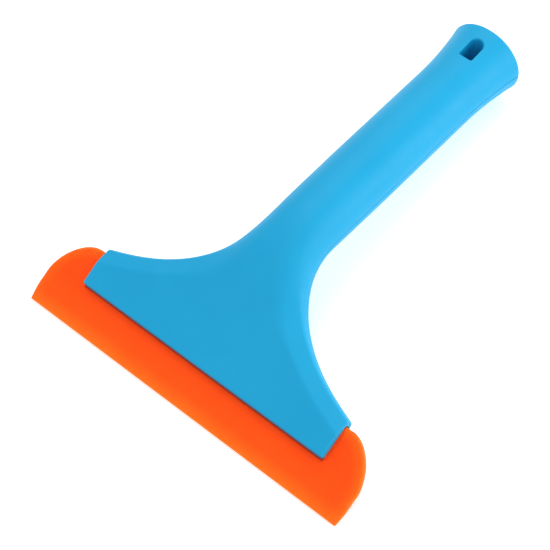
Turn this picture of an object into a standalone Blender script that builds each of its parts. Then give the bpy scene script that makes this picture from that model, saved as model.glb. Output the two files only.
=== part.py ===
"""Hand-held aquarium scraper: a flexible blade clamped between two moulded shells by five screws.

The tool lies on its back on Z = 0, resting on its scraping edge and on the flared end of its handle.
+X runs along the blade, +Y from the blade to the end of the handle, +Z out of the front.
The origin is on the floor, under the middle of the tool.

Every piece is drawn in tool coordinates (x, s, d) and moved to the world by place():
x across the tool, s along its bent centreline from the scraping edge, d towards the front.
"""

import math

import bmesh
import bpy
from mathutils import Matrix, Vector

# Centreline: a straight head, one bend, a straight handle.
HEAD_SLOPE = math.radians(22.35)  # rise of the head above the floor, with both ends of the tool on it
BEND = math.radians(28.9)  # how far the handle leans back from the head
BEND_RADIUS = 0.045
BEND_CORNER = 0.0737  # where the two straight runs would cross

# Outline of the shells.
LIP_S = 0.01655  # lower edge of the jaws
LIP_CORNER = 0.0008
HEAD_HALF = 0.05825  # half length of the jaws, out to their flat ends
SHOULDER_S = 0.03287  # where the flanks meet the flat ends
SHOULDER_SLOPE = math.radians(18.2)
SHOULDER_REACH = 0.0152  # how straight the flanks leave the shoulders
SHOULDER_ROUND = 0.0018
NECK_S = 0.08236
NECK_HALF = 0.01295
NECK_PULL = 0.03415  # how straight the flanks run into the neck
GRIP_HALF = 0.0132
SWELL = 0.04  # length over which the neck grows to the grip
FLARE_S = 0.163
END_S = 0.19115
END_HALF = 0.0159
DOME = 0.00315

# Depth of the shells, from the parting plane to the front or the back.
JAW_DEPTH = 0.00504
GRIP_DEPTH = 0.01255
DEPTH_START = 0.020
DEPTH_END = 0.095
GRIP_OVAL = 0.95  # depth to width on the flare

# Section of the shells: a bevel along the head's flanks, which grows into the handle's round sides.
BEVEL_WIDTH = 0.0074
BEVEL_FOOT = 0.5  # share of the depth where the steep foot meets the bevel's slope
BEVEL_FOOT_WIDTH = 0.14  # share of the bevel's width that the foot takes
BEVEL_CREASE = 0.833  # share of the bevel's width where its slope would reach the flat front
CREASE_SOFT = 0.12
GRIP_ROUND = 0.0126
WIDEN = (0.041, 0.063)  # stretch where the bevel grows to the round side's width
ROUND_OVER = (0.045, 0.066)  # stretch where its section goes from straight to round
TURN = (0.050, 0.076)  # stretch where it turns from square to the flank to straight across
CROWN_HALF = 0.0003  # half of the flat left on the round sections' crown

# Inside of the shells.
GAP = 0.0003
WALL = 0.0024
RIB = 0.002
POCKET_LONGEST = 0.0165
HEAD_POCKET_S = 0.033
COLUMN_HALF = 0.00825
COLUMN_PITCH = 0.018
BEVEL_KEEP = 0.7  # share of the bevel's width that a square pocket corner stays clear of
BRIDGE_HALF = 0.0042  # solid bridge round each screw
JAWS_PAST = 0.016  # how much too long the jaws are made before their ends are trimmed
JAW_RINGS = (1.0, 0.5, 0.1)  # shares of that length with a ring of points
PAST = 0.002  # how far a cutter reaches past the face it opens
TRIM_PAST = 0.006  # how far the trimming reaches past the lip and above the shoulders
THROUGH = 0.03  # depth that takes a cutter right through and out

# Hang hole: flat towards the blade, round towards the tip.
HOLE_FLAT_S = 0.1761
HOLE_ROUND_S = 0.1859
HOLE_HALF = 0.0030
HOLE_CORNER = 0.0008
SLEEVE_WALL = 0.002
SLEEVE_ROOM = 0.004  # length of the pocket below the sleeve
END_POCKET_S = 0.19015

# Blade.
BLADE_HALF = 0.07555
EDGE_PINCH = 0.00055  # how much narrower the blade is at the scraping edge
PINCH_S = 0.009
BLADE_TOP_S = 0.0306
BLADE_HALF_THICK = 0.0018
EDGE_HALF_THICK = 0.00045
TAPER_S = 0.0075
BLADE_SHOULDER_X = 0.0142
BLADE_SHOULDER_RISE = 0.0179
BLADE_SHOULDER_POWER = 1.734
FLEX_S = 0.0136  # line about which the free lip bends
ROOT_STEPS = 7
ROOT_TURN = math.radians(84)
SLOT_HALF = BLADE_HALF_THICK + GAP

# Locating pegs, moulded in the front shell, through holes in the blade's root.
PEG_COUNT = 7
PEG_PITCH = 0.016
PEG_S = 0.0245
PEG_RADIUS = 0.0018

# Screws, driven from the back: name, x, s, seat depth behind the parting plane, shank length.
SCREWS = (
    ("screw_head_left", -0.034, 0.036, 0.0034, 0.0066),
    ("screw_head_right", 0.034, 0.036, 0.0034, 0.0066),
    ("screw_neck", 0.0, 0.057, 0.0045, 0.0100),
    ("screw_grip_lower", 0.0, 0.112, 0.0045, 0.0120),
    ("screw_grip_upper", 0.0, 0.158, 0.0045, 0.0120),
)
SHANK_RADIUS = 0.0013
SCREW_HEAD_RADIUS = 0.0026
SCREW_HEAD_HEIGHT = 0.0016
SCREW_CROWN = ((0.62, 1.0), (0.9, 0.8), (1.0, 0.4))  # shares of the head's radius and height
SCREW_TIP = 0.0012
SCREW_POINT = 0.3  # share of the shank's radius left at the tip
RECESS_HALF_LENGTH = 0.0015
RECESS_HALF_WIDTH = 0.00035
RECESS_DEPTH = 0.0008

# Fineness of the facets.
PROFILE_STEPS = 9
FOOT_STEPS = 4
CREASE_STEPS = 3
FLANK_STEPS = 18
GRIP_STEPS = 9
FLARE_STEPS = 7
DOME_STEPS = 6
DOME_TURN = math.radians(84)
CORNER_STEPS = 3
SHOULDER_STEPS = 5
HOLE_STEPS = 12
COLUMN_STEPS = 6
POCKET_STEPS = 4
BLADE_SHOULDER_STEPS = 14
PINCH_STEPS = 6
ROUND_SIDES = 24
SCREW_SIDES = 20
SMOOTH_UP_TO = math.radians(30)
HALVINGS = 40

ARC_START = BEND_CORNER - BEND_RADIUS * math.tan(BEND / 2)
ARC_LENGTH = BEND_RADIUS * BEND


def smoothstep(low, high, value):
    t = min(max((value - low) / (high - low), 0.0), 1.0)
    return t * t * (3 - 2 * t)


# ---- tool coordinates ----


def centreline(s):
    """World (y, z, slope) of the centreline, before the tool is centred over the origin."""
    start_z = EDGE_HALF_THICK * math.cos(HEAD_SLOPE)
    on_head = min(s, ARC_START)
    y = on_head * math.cos(HEAD_SLOPE)
    z = start_z + on_head * math.sin(HEAD_SLOPE)
    turned = min(max(s - ARC_START, 0.0), ARC_LENGTH) / BEND_RADIUS
    slope = HEAD_SLOPE - turned
    y += BEND_RADIUS * (math.sin(HEAD_SLOPE) - math.sin(slope))
    z += BEND_RADIUS * (math.cos(slope) - math.cos(HEAD_SLOPE))
    on_handle = max(s - ARC_START - ARC_LENGTH, 0.0)
    return y + on_handle * math.cos(slope), z + on_handle * math.sin(slope), slope


def mid_y():
    """Half way from the scraping edge to the tip of the domed end."""
    y, _, slope = centreline(END_S)
    tip = math.hypot(DOME * math.cos(slope), END_HALF * GRIP_OVAL * math.sin(slope))
    return (y + tip - EDGE_HALF_THICK * math.sin(HEAD_SLOPE)) / 2


MID_Y = mid_y()


def place(x, s, d):
    y, z, slope = centreline(s)
    return Vector((x, y - d * math.sin(slope) - MID_Y, z + d * math.cos(slope)))


def frame_at(x, s, d):
    """Matrix with its origin at (x, s, d), +X across, +Y along the tool and +Z to the front."""
    slope = centreline(s)[2]
    return Matrix.Translation(place(x, s, d)) @ Matrix.Rotation(slope, 4, "X")


# ---- outline and section of the shells ----


def flank(t):
    """(x, s) point and unit tangent of the head's flank, from the shoulder (t = 0) to the neck (t = 1)."""
    p0 = Vector((HEAD_HALF, SHOULDER_S))
    p1 = p0 + SHOULDER_REACH * Vector((-math.cos(SHOULDER_SLOPE), math.sin(SHOULDER_SLOPE)))
    p3 = Vector((NECK_HALF, NECK_S))
    p2 = p3 - Vector((0.0, NECK_PULL))
    r = 1 - t
    point = r**3 * p0 + 3 * r * r * t * p1 + 3 * r * t * t * p2 + t**3 * p3
    along = r * r * (p1 - p0) + 2 * r * t * (p2 - p1) + t * t * (p3 - p2)
    return point, along.normalized()


def flank_x(s, inset=0.0):
    """Half width at s of the head, measured on the line that runs inset inside its flank."""
    low, high = 0.0, 1.0
    for _ in range(HALVINGS):
        middle = (low + high) / 2
        point, along = flank(middle)
        if point.y + inset * along.x < s:
            low = middle
        else:
            high = middle
    point, along = flank(low)
    return point.x - inset * along.y


def grip_half(s):
    swell = (GRIP_HALF - NECK_HALF) * smoothstep(NECK_S, NECK_S + SWELL, s)
    flare = max(s - FLARE_S, 0.0) / (END_S - FLARE_S)
    return NECK_HALF + swell + (END_HALF - GRIP_HALF) * flare**2


def half_width(s):
    return flank_x(s) if s < NECK_S else grip_half(s)


def half_depth(s):
    depth = JAW_DEPTH + (GRIP_DEPTH - JAW_DEPTH) * smoothstep(DEPTH_START, DEPTH_END, s)
    if s > FLARE_S:
        depth += GRIP_OVAL * (grip_half(s) - GRIP_HALF)
    return depth


def band_width(s):
    """How far in from the outline the bevel or the rounding reaches."""
    widest = GRIP_ROUND + (grip_half(s) - CROWN_HALF - GRIP_ROUND) * smoothstep(NECK_S, FLARE_S, s)
    return BEVEL_WIDTH + (widest - BEVEL_WIDTH) * smoothstep(*WIDEN, s)


def outline_point(kind, value):
    """Point and tangent of the outline: on the flank, on its line past the shoulder, or on the grip."""
    if kind == "past":
        point, along = flank(0.0)
        return point - value * along, along
    if kind == "flank":
        return flank(value)
    return Vector((grip_half(value), value)), Vector((0.0, 1.0))


def bevel_profile():
    """Shares of (band width, depth) across the head's bevel: steep foot, straight slope, soft crease."""
    slope = (1 - BEVEL_FOOT) / BEVEL_CREASE
    foot_depth = BEVEL_FOOT + slope * BEVEL_FOOT_WIDTH
    points = []
    for i in range(FOOT_STEPS + 1):
        t = i / FOOT_STEPS
        points.append((t * t * BEVEL_FOOT_WIDTH, 2 * t * (1 - t) * BEVEL_FOOT + t * t * foot_depth))
    before, after = BEVEL_CREASE - CREASE_SOFT, BEVEL_CREASE + CREASE_SOFT
    for i in range(CREASE_STEPS + 1):
        across = before + (after - before) * i / CREASE_STEPS
        points.append((across, 1 - slope * (after - across) ** 2 / (4 * CREASE_SOFT)))
    return points + [(1.0, 1.0)]


def round_profile():
    angles = [math.pi / 2 * i / PROFILE_STEPS for i in range(PROFILE_STEPS + 1)]
    return [(1 - math.cos(a), math.sin(a)) for a in angles]


def section(kind, value):
    """Quarter section at one outline point, as (x, s, d) from the parting plane to the flat front."""
    foot, along = outline_point(kind, value)
    square = Vector((along.y, -along.x))
    inward = square.lerp(Vector((1.0, 0.0)), smoothstep(*TURN, foot.y)).normalized()
    band = min(band_width(foot.y), (foot.x - CROWN_HALF) / inward.x)
    depth = half_depth((foot - band * inward).y)
    roundness = smoothstep(*ROUND_OVER, foot.y)
    points = []
    for flat, arc in zip(bevel_profile(), round_profile()):
        across = flat[0] + (arc[0] - flat[0]) * roundness
        height = flat[1] + (arc[1] - flat[1]) * roundness
        spot = foot - band * across * inward
        points.append((spot.x, spot.y, max(depth * height, GAP / 2)))
    return points


def outer_rings(side):
    """Rings of the solid half body, its jaws left too long at the lip and at the ends."""
    longest = section("past", JAWS_PAST)
    reach, depth = longest[-1][1:]
    quarters = []
    for s in (LIP_S - PAST, reach - PAST):
        scale = half_depth(s) / depth
        quarters.append([(x, s - reach + y, max(d * scale, GAP / 2)) for x, y, d in longest])
    quarters += [section("past", JAWS_PAST * share) for share in JAW_RINGS]
    quarters += [section("flank", i / FLANK_STEPS) for i in range(FLANK_STEPS + 1)]
    bend_end = ARC_START + ARC_LENGTH
    grip = [NECK_S + (bend_end - NECK_S) * i / 2 for i in (1, 2)]
    grip += [bend_end + (FLARE_S - bend_end) * i / GRIP_STEPS for i in range(1, GRIP_STEPS + 1)]
    grip += [FLARE_S + (END_S - FLARE_S) * i / FLARE_STEPS for i in range(1, FLARE_STEPS + 1)]
    quarters += [section("grip", s) for s in grip]
    for i in range(1, DOME_STEPS + 1):
        angle = DOME_TURN * i / DOME_STEPS
        shrink, s = math.cos(angle), END_S + DOME * math.sin(angle)
        quarters.append([(x * shrink, s, max(d * shrink, GAP / 2)) for x, _, d in section("grip", END_S)])
    halves = [quarter + [(-x, s, d) for x, s, d in reversed(quarter)] for quarter in quarters]
    return [[place(x, s, side * d) for x, s, d in half] for half in halves]


def arch(width, depth, rounding):
    """Half section as (x, d) points, from the right foot over the crown to the left foot."""
    quarter = []
    for i in range(PROFILE_STEPS + 1):
        angle = math.pi / 2 * i / PROFILE_STEPS
        quarter.append((width - rounding + rounding * math.cos(angle), depth * math.sin(angle)))
    return quarter + [(-x, d) for x, d in reversed(quarter)]


def trim_outline():
    """(x, s) outline, shaped like a U, of what is cut off past the lip and past the ends of the head."""
    half = [(0.0, LIP_S)]
    for i in range(CORNER_STEPS + 1):
        angle = math.pi / 2 * i / CORNER_STEPS
        x = HEAD_HALF - LIP_CORNER + LIP_CORNER * math.sin(angle)
        half.append((x, LIP_S + LIP_CORNER - LIP_CORNER * math.cos(angle)))
    turn = math.pi / 2 - SHOULDER_SLOPE
    top = SHOULDER_S - SHOULDER_ROUND * math.tan(turn / 2)
    for i in range(SHOULDER_STEPS + 1):
        angle = turn * i / SHOULDER_STEPS
        x = HEAD_HALF - SHOULDER_ROUND + SHOULDER_ROUND * math.cos(angle)
        half.append((x, top + SHOULDER_ROUND * math.sin(angle)))
    high, low = half[-1][1] + TRIM_PAST, LIP_S - TRIM_PAST
    half += [(half[-1][0], high), (HEAD_HALF + THROUGH, high), (HEAD_HALF + THROUGH, low)]
    return half + [(-x, s) for x, s in reversed(half[1:])]


# ---- mesh helpers ----


def add_loft(mesh, rings):
    """Adds one closed body through rings of equal length to a bmesh."""
    loops = [[mesh.verts.new(point) for point in ring] for ring in rings]
    faces = [mesh.faces.new(loops[0]), mesh.faces.new(list(reversed(loops[-1])))]
    for lower, upper in zip(loops, loops[1:]):
        for i in range(len(lower)):
            j = (i + 1) % len(lower)
            faces.append(mesh.faces.new((lower[i], upper[i], upper[j], lower[j])))
    bmesh.ops.recalc_face_normals(mesh, faces=faces)
    outward = sum(face.calc_area() * face.normal.dot(face.calc_center_median()) for face in faces)
    if outward < 0:
        bmesh.ops.reverse_faces(mesh, faces=faces)


def body(name, lofts, surface=None):
    mesh = bmesh.new()
    for rings in lofts:
        add_loft(mesh, rings)
    data = bpy.data.meshes.new(name)
    mesh.to_mesh(data)
    mesh.free()
    data.shade_smooth()
    data.set_sharp_from_angle(angle=SMOOTH_UP_TO)
    if surface:
        data.materials.append(surface)
    made = bpy.data.objects.new(name, data)
    bpy.context.scene.collection.objects.link(made)
    return made


def cutter(name, lofts):
    made = body(name, lofts)
    made.hide_render = True
    made.display_type = "WIRE"
    return made


def combine(target, tool, operation="DIFFERENCE"):
    modifier = target.modifiers.new(tool.name, "BOOLEAN")
    modifier.operation = operation
    modifier.object = tool
    modifier.solver = "EXACT"


def prism(outline, depths):
    """Rings of a body with an (x, s) outline, between two depths."""
    return [[place(x, s, d) for x, s in outline] for d in depths]


def disc(x, s, radius, sides=ROUND_SIDES):
    """(x, s) outline of a circle."""
    angles = [2 * math.pi * i / sides for i in range(sides)]
    return [(x + radius * math.cos(a), s + radius * math.sin(a)) for a in angles]


def box(x_span, s_span, d_span):
    (left, right), (low, high) = x_span, s_span
    return prism([(left, low), (right, low), (right, high), (left, high)], d_span)


def material(name, colour, roughness, metallic=0.0):
    made = bpy.data.materials.new(name)
    made.use_nodes = True
    shader = made.node_tree.nodes["Principled BSDF"]
    shader.inputs["Base Color"].default_value = (*colour, 1.0)
    shader.inputs["Roughness"].default_value = roughness
    shader.inputs["Metallic"].default_value = metallic
    return made


# ---- hollows and holes of the shells ----


def column_pocket(side, inner_x, outer_x):
    """Pocket between two ribs of the head, ending where the head gets too narrow for it."""
    rings = []
    last_s = SCREWS[2][2] - BRIDGE_HALF
    for i in range(COLUMN_STEPS + 1):
        s = HEAD_POCKET_S + (last_s - HEAD_POCKET_S) * i / COLUMN_STEPS
        limit = flank_x(s, BEVEL_KEEP * band_width(s))
        left, right = max(inner_x, -limit), min(outer_x, limit)
        depth = half_depth(s) - WALL
        corners = ((left, -PAST), (right, -PAST), (right, depth), (left, depth))
        rings.append([place(x, s, side * d) for x, d in corners])
    return rings


def grip_pocket(side, start, end):
    """Pocket that follows the round handle's outside one wall further in."""
    rings = []
    for i in range(POCKET_STEPS + 1):
        s = start + (end - start) * i / POCKET_STEPS
        hollow = arch(half_width(s) - WALL, half_depth(s) - WALL, band_width(s) - WALL)
        hollow = [(hollow[0][0], -PAST)] + hollow + [(hollow[-1][0], -PAST)]
        rings.append([place(x, s, side * d) for x, d in hollow])
    return rings


def grip_pockets(side, start, end):
    """Equal pockets with ribs between them."""
    count = math.ceil((end - start + RIB) / (POCKET_LONGEST + RIB))
    length = (end - start + RIB) / count - RIB
    starts = [start + i * (length + RIB) for i in range(count)]
    return [grip_pocket(side, first, first + length) for first in starts]


def hang_hole_outline(offset=0.0):
    """(x, s) outline of the hang hole, grown by offset."""
    half = HOLE_HALF + offset
    corner = HOLE_CORNER + offset
    flat = HOLE_FLAT_S - offset
    centre = HOLE_ROUND_S - HOLE_HALF
    outline = []
    for i in range(HOLE_STEPS + 1):
        angle = math.pi * i / HOLE_STEPS
        outline.append((half * math.cos(angle), centre + half * math.sin(angle)))
    for side, first in ((-1, math.pi), (1, 3 * math.pi / 2)):
        for i in range(CORNER_STEPS + 1):
            angle = first + math.pi / 2 * i / CORNER_STEPS
            x = side * (half - corner) + corner * math.cos(angle)
            outline.append((x, flat + corner + corner * math.sin(angle)))
    return outline


def peg_places():
    return [(i - (PEG_COUNT - 1) / 2) * PEG_PITCH for i in range(PEG_COUNT)]


def hollow_cutters(side, name):
    """The trimming, the slot for the blade, the pockets, and the pocket round the hang hole's sleeve."""
    trim = cutter(name + "_trim_cutter", [prism(trim_outline(), (-side * PAST, side * THROUGH))])
    slot_s = (LIP_S - PAST, BLADE_TOP_S + GAP)
    slot = box((-BLADE_HALF, BLADE_HALF), slot_s, (-side * PAST, side * SLOT_HALF))
    pockets = [column_pocket(side, -COLUMN_HALF, COLUMN_HALF)]
    for way in (-1, 1):
        edges = sorted((way * (COLUMN_PITCH - COLUMN_HALF), way * (COLUMN_PITCH + COLUMN_HALF)))
        pockets.append(column_pocket(side, *edges))
    neck, lower, upper = (SCREWS[i][2] for i in (2, 3, 4))
    sleeve_start = HOLE_FLAT_S - SLEEVE_WALL - SLEEVE_ROOM
    pockets += grip_pockets(side, neck + BRIDGE_HALF, lower - BRIDGE_HALF)
    pockets += grip_pockets(side, lower + BRIDGE_HALF, upper - BRIDGE_HALF)
    pockets += grip_pockets(side, upper + BRIDGE_HALF, sleeve_start - RIB)
    hollows = cutter(name + "_hollow_cutter", [slot] + pockets)
    end_pocket = cutter(name + "_end_pocket_cutter", [grip_pocket(side, sleeve_start, END_POCKET_S)])
    sleeve = cutter(name + "_sleeve", [prism(hang_hole_outline(SLEEVE_WALL), (-THROUGH, THROUGH))])
    combine(end_pocket, sleeve)
    return trim, hollows, end_pocket


def front_shell(plastic):
    shell = body("front_shell", [outer_rings(1)], plastic)
    for tool in hollow_cutters(1, "front"):
        combine(shell, tool)
    peg_depths = (-BLADE_HALF_THICK, SLOT_HALF + PAST / 2)
    pegs = [prism(disc(x, PEG_S, PEG_RADIUS), peg_depths) for x in peg_places()]
    combine(shell, cutter("locating_pegs", pegs), "UNION")
    holes = [prism(hang_hole_outline(), (-THROUGH, THROUGH))]
    for _, x, s, seat, length in SCREWS:
        holes.append(prism(disc(x, s, SHANK_RADIUS + GAP / 2), (-PAST, length - seat + GAP)))
    combine(shell, cutter("front_hole_cutter", holes))
    return shell


def rear_shell(plastic):
    shell = body("rear_shell", [outer_rings(-1)], plastic)
    for tool in hollow_cutters(-1, "rear"):
        combine(shell, tool)
    holes = [prism(hang_hole_outline(), (-THROUGH, THROUGH))]
    for _, x, s, seat, _ in SCREWS:
        shank = disc(x, s, SHANK_RADIUS + GAP)
        head = disc(x, s, SCREW_HEAD_RADIUS + GAP)
        rings = prism(shank, (PAST, -seat)) + prism(head, (-seat, -THROUGH))
        holes.append(rings)
    combine(shell, cutter("rear_hole_cutter", holes))
    return shell


# ---- blade ----


def blade_half_width(s):
    """Half length of the blade at s: nearly square lower ends, then a soft shoulder."""
    if s < PINCH_S:
        return BLADE_HALF - EDGE_PINCH * (1 - s / PINCH_S) ** 2
    rise = (s - (BLADE_TOP_S - BLADE_SHOULDER_RISE)) / BLADE_SHOULDER_RISE
    if rise <= 0:
        return BLADE_HALF
    reach = max(1 - rise**BLADE_SHOULDER_POWER, 0.0) ** (1 / BLADE_SHOULDER_POWER)
    return BLADE_HALF - BLADE_SHOULDER_X * (1 - reach)


def blade_half_thick(s):
    """Half thickness of the blade, which fines down to the scraping edge."""
    taper = 1 - min(s / TAPER_S, 1.0)
    return EDGE_HALF_THICK + (BLADE_HALF_THICK - EDGE_HALF_THICK) * (1 - taper**2)


def blade_root(rubber):
    """The part of the blade between the jaws, with the rounded shoulders that stand past them."""
    start = FLEX_S + BLADE_HALF_THICK + GAP
    shares = [1 - i / BLADE_SHOULDER_STEPS for i in range(BLADE_SHOULDER_STEPS + 1)]
    stations = [BLADE_TOP_S - (BLADE_TOP_S - start) * share**2 for share in shares]
    right = [(blade_half_width(s), s) for s in stations]
    outline = right + [(-x, s) for x, s in reversed(right)]
    root = body("blade_root", [prism(outline, (-BLADE_HALF_THICK, BLADE_HALF_THICK))], rubber)
    holes = [prism(disc(x, PEG_S, PEG_RADIUS + GAP), (-THROUGH, THROUGH)) for x in peg_places()]
    combine(root, cutter("blade_hole_cutter", holes))
    return root


def blade_lip(rubber):
    """The free part of the blade: bevelled to the scraping edge, with a rounded root to turn on."""
    stations = [PINCH_S * i / PINCH_STEPS for i in range(PINCH_STEPS + 1)] + [FLEX_S]
    sections = [(s, blade_half_thick(s)) for s in stations]
    for i in range(1, ROOT_STEPS + 1):
        angle = ROOT_TURN * i / ROOT_STEPS
        sections.append((FLEX_S + BLADE_HALF_THICK * math.sin(angle), BLADE_HALF_THICK * math.cos(angle)))
    rings = []
    for s, thick in sections:
        half = blade_half_width(s)
        corners = ((half, -thick), (half, thick), (-half, thick), (-half, -thick))
        rings.append([place(x, s, d) for x, d in corners])
    lip = body("blade_lip", [rings], rubber)
    pivot = frame_at(0.0, FLEX_S, 0.0)
    lip.data.transform(pivot.inverted())
    lip.matrix_world = pivot
    return lip


# ---- screws ----


def screw(name, x, s, seat, length, steel):
    """Pan-head screw with a cross recess, its head to the back."""
    profile = [(SCREW_HEAD_RADIUS * out, -SCREW_HEAD_HEIGHT * high) for out, high in SCREW_CROWN]
    profile += [
        (SCREW_HEAD_RADIUS, -GAP),
        (SHANK_RADIUS, -GAP),
        (SHANK_RADIUS, length - SCREW_TIP),
        (SHANK_RADIUS * SCREW_POINT, length),
    ]
    rings = []
    for radius, height in profile:
        rings.append([Vector((px, py, height)) for px, py in disc(0.0, 0.0, radius, SCREW_SIDES)])
    made = body(name, [rings], steel)
    long, wide = RECESS_HALF_LENGTH, RECESS_HALF_WIDTH
    cross = [(wide, -long), (wide, -wide), (long, -wide), (long, wide), (wide, wide), (wide, long)]
    cross += [(-px, -py) for px, py in cross]
    floor = RECESS_DEPTH - SCREW_HEAD_HEIGHT
    sides = [[Vector((px, py, z)) for px, py in cross] for z in (-THROUGH, floor)]
    recess = cutter(name + "_recess", [sides])
    combine(made, recess)
    for thing in (made, recess):
        thing.matrix_world = frame_at(x, s, -seat)
    return made


def main():
    for old in list(bpy.data.objects):
        bpy.data.objects.remove(old, do_unlink=True)
    plastic = material("blue_plastic", (0.03, 0.50, 0.89), 0.42)
    rubber = material("orange_rubber", (1.0, 0.10, 0.01), 0.5)
    steel = material("screw_steel", (0.55, 0.56, 0.57), 0.35, 1.0)
    tool = bpy.data.objects.new("tool", None)
    bpy.context.scene.collection.objects.link(tool)
    pieces = [front_shell(plastic), rear_shell(plastic), blade_root(rubber), blade_lip(rubber)]
    pieces += [screw(*values, steel) for values in SCREWS]
    for piece in pieces:
        piece.parent = tool


main()
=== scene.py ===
"""Looks of the hand-held aquarium scraper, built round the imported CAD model.

The CAD model gives the places, the joint and the outer box. This script replaces its shells and its two
blade solids with finely shaped pieces: two moulded shells and one continuous silicone blade. The five
screws keep their CAD shape and get a better material.

Every piece is drawn in tool coordinates (x, s, d) and moved to the world by place():
x across the tool, s along its bent centreline from the scraping edge, d towards the front.
"""

import math

import bmesh
import bpy
import numpy as np
from mathutils import Matrix, Vector


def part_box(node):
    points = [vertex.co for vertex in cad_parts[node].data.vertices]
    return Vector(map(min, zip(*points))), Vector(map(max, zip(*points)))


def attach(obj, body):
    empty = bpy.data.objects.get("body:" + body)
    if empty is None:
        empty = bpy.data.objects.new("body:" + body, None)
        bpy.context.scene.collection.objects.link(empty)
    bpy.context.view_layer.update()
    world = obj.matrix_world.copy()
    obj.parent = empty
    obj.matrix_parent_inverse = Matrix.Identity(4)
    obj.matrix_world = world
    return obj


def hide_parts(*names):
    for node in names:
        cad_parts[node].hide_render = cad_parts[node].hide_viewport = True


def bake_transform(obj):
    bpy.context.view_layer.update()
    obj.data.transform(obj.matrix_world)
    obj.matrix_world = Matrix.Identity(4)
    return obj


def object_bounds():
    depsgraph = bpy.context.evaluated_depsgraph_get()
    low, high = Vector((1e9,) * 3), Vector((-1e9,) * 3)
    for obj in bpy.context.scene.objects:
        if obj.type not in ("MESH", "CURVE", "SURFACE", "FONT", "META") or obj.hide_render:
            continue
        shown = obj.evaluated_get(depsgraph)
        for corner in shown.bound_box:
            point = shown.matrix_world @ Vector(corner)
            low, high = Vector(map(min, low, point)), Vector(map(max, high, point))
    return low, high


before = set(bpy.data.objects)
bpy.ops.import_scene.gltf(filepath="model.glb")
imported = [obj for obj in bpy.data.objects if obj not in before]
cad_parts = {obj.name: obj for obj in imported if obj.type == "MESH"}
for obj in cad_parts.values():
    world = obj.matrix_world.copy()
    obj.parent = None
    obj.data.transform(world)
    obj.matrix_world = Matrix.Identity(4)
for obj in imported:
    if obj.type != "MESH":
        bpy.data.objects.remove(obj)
CAD_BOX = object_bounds()

# ---- driving dimensions, as in the CAD model, and the finer ones of the visual pieces ----

HEAD_SLOPE = math.radians(22.35)  # rise of the head above the floor
BEND = math.radians(28.9)  # how far the handle leans back from the head
BEND_RADIUS = 0.045
BEND_CORNER = 0.0737  # where the two straight runs would cross
ARC_START = BEND_CORNER - BEND_RADIUS * math.tan(BEND / 2)
ARC_LENGTH = BEND_RADIUS * BEND

LIP_S = 0.01655  # lower edge of the jaws
LIP_FRONT_S = LIP_S + 0.0003  # the same on their front, above the leaning end face
HEAD_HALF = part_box("front_shell")[1].x
SHOULDER_S = 0.03287  # where the flanks meet the flat ends
SHOULDER_SLOPE = math.radians(18.2)
SHOULDER_REACH = 0.0152  # how straight the flanks leave the shoulders
SHOULDER_ROUND = 0.0018
NECK_S = 0.08236
NECK_HALF = 0.01295
NECK_PULL = 0.03415  # how straight the flanks run into the neck
GRIP_HALF = 0.0132
SWELL = 0.04  # length over which the neck grows to the grip
FLARE_S = 0.163
END_S = 0.19115
END_HALF = 0.0159
DOME = 0.00315

JAW_DEPTH = 0.00504
GRIP_DEPTH = 0.01255
DEPTH_START = 0.020
DEPTH_END = 0.095
GRIP_OVAL = 0.95  # depth to width on the flare
CROWN_HALF = 0.0003  # half of the flat left on the round sections' crown

BEVEL_WIDTH = 0.0074
GRIP_ROUND = 0.0126
BEVEL_FOOT = 0.5  # share of the depth where the steep foot meets the bevel's slope
BEVEL_FOOT_WIDTH = 0.14  # share of the bevel's width that the foot takes
BEVEL_CREASE = 0.833  # share of the bevel's width where its slope would reach the flat front
CREASE_SOFT = 0.12
WIDEN = (0.041, 0.063)  # stretch where the bevel grows to the round side's width
ROUND_OVER = (0.045, 0.066)  # stretch where its section goes from straight to round
TURN = (0.050, 0.076)  # stretch where it turns from square to the flank to straight across

PARTING = 0.00012  # gap between each shell and the parting plane
PARTING_EDGE = 0.0002
EDGE_MID = 0.71  # share of the broken edge at the middle of its rounding
EDGE_CLEAR = 1.7  # share of it that the section keeps above the parting plane
LIP_ROUND = 0.0007
LIP_DRAFT = 0.0009  # lean of the jaws' lower face, from the parting plane to the front
PAINTED_SHADE_BELOW = 0.0002  # where the painted shade at the foot of the jaws starts, and where it ends
PAINTED_SHADE_ABOVE = 0.0008
LIP_CORNER = 0.0008
SLOT_HALF = 0.0021
SLOT_TOP_S = 0.0309
JAWS_PAST = 0.016  # how much too long the jaws are made before they are trimmed
JAWS_BELOW = 0.003  # how far below the lip they start
JAWS_MEET = 0.001  # shortest step between the rings where their straight runs meet
TRIM_PAST = 0.006  # how far the trimming reaches past the lip and above the shoulders
TRIM_X = 0.09  # half width that lies well past the head
TRIM_CLEAR = 0.00002  # how far the rounding's last ring stands clear of the surface
THROUGH = 0.03  # depth that takes a cutter right through and out

HOLE_FLAT_S = 0.1761
HOLE_ROUND_S = 0.1859
HOLE_HALF = 0.0030
HOLE_CORNER = 0.0008
HOLE_RIM = 0.0007
WELL_RIM = 0.0004
WELL_BELOW = 0.001  # how far a screw's bore reaches past its seat
RIM_OUT = 0.003  # how far out of the surface a rimmed hole's cutter ends
RIM_FLARE = 3  # how many rims wider it is there

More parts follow.
